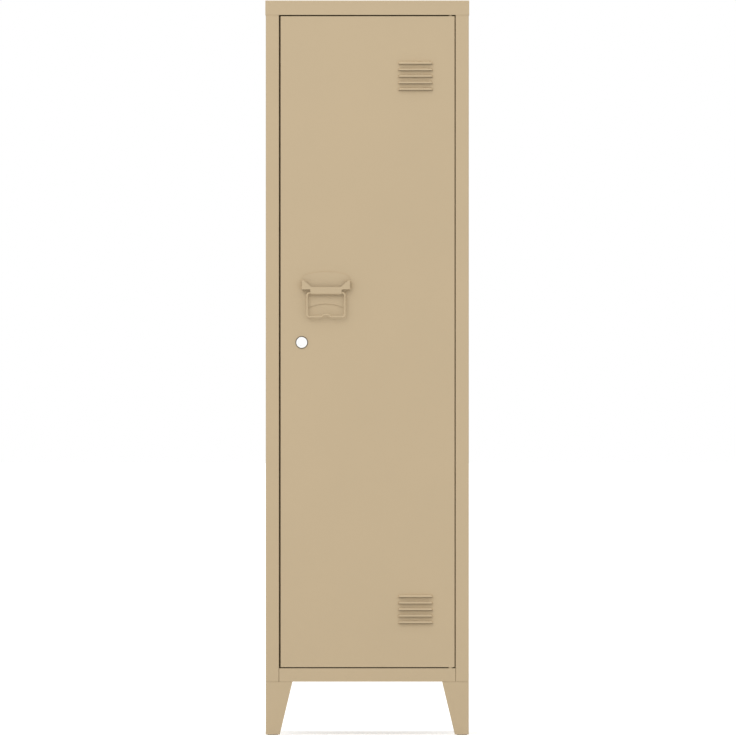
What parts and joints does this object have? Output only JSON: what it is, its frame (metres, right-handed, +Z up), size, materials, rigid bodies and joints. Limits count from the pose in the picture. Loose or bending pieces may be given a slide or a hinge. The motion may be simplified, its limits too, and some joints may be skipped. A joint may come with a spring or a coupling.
{
  "type": "clothes locker",
  "caption": "Tall narrow sheet-steel locker with a louvred hinged door, drop handle and cam lock, inside shelves and a hanging rail, standing on tapered folded legs.",
  "frame": {"origin": "on the floor, under the centre of the whole locker's box", "axes": "+Z up, the door faces -Y, +X to the right of someone facing the door"},
  "size_m": [0.3816, 0.4728, 1.375],
  "materials": {
    "paint": "matt beige powder coat",
    "zinc": "bright zinc plated",
    "chrome": "polished",
    "nylon": "moulded",
    "rubber": "matt"
  },
  "bodies": {
    "cabinet": {"top_cap": "paint", "side_panel_left": "paint", "side_panel_right": "paint", "back_panel": "paint", "base_pan": "paint", "hat_shelf": "paint", "lower_shelf": "paint", "hat_shelf_runner_left": "paint", "hat_shelf_runner_right": "paint", "lower_shelf_runner_left": "paint", "lower_shelf_runner_right": "paint", "hanging_rail": "chrome", "rail_socket_left": "zinc", "rail_socket_right": "zinc", "hinge_plate_top": "paint", "hinge_plate_bottom": "paint", "hinge_pin_top": "paint", "hinge_pin_bottom": "paint", "hinge_washer": "nylon", "door_buffers": "rubber", "leg_front_left": "paint", "leg_front_right": "paint", "leg_rear_left": "paint", "leg_rear_right": "paint", "glide_front_left": "nylon", "glide_front_right": "nylon", "glide_rear_left": "nylon", "glide_rear_right": "nylon", "leg_bolts": "zinc", "leg_nuts": "zinc"},
    "door": {"door_panel": "paint", "door_stiffener": "paint", "hinge_bush_top": "nylon", "hinge_bush_bottom": "nylon", "handle_plate": "paint", "handle_strap": "paint", "handle_rivets": "paint", "lock_gasket": "rubber", "lock_barrel": "chrome", "lock_nut": "zinc"},
    "bail": {"bail": "paint"},
    "lock_plug": {"lock_plug": "chrome", "lock_cam": "zinc", "cam_screw": "zinc"}
  },
  "joints": [
    {"name": "door_hinge", "type": "hinge", "parent": "cabinet", "child": "door", "pos_m": [0.1557, -0.2195, 0.7362], "axis": [0, 0, 1], "range_deg": [0, 110]},
    {"name": "bail_swing", "type": "hinge", "parent": "door", "child": "bail", "pos_m": [-0.0773, -0.23328, 0.8275], "axis": [-1, 0, 0], "range_deg": [-8, 135]},
    {"name": "lock_turn", "type": "hinge", "parent": "door", "child": "lock_plug", "pos_m": [-0.1227, -0.2244, 0.735], "axis": [0, 1, 0], "range_deg": [0, 90]}
  ]
}
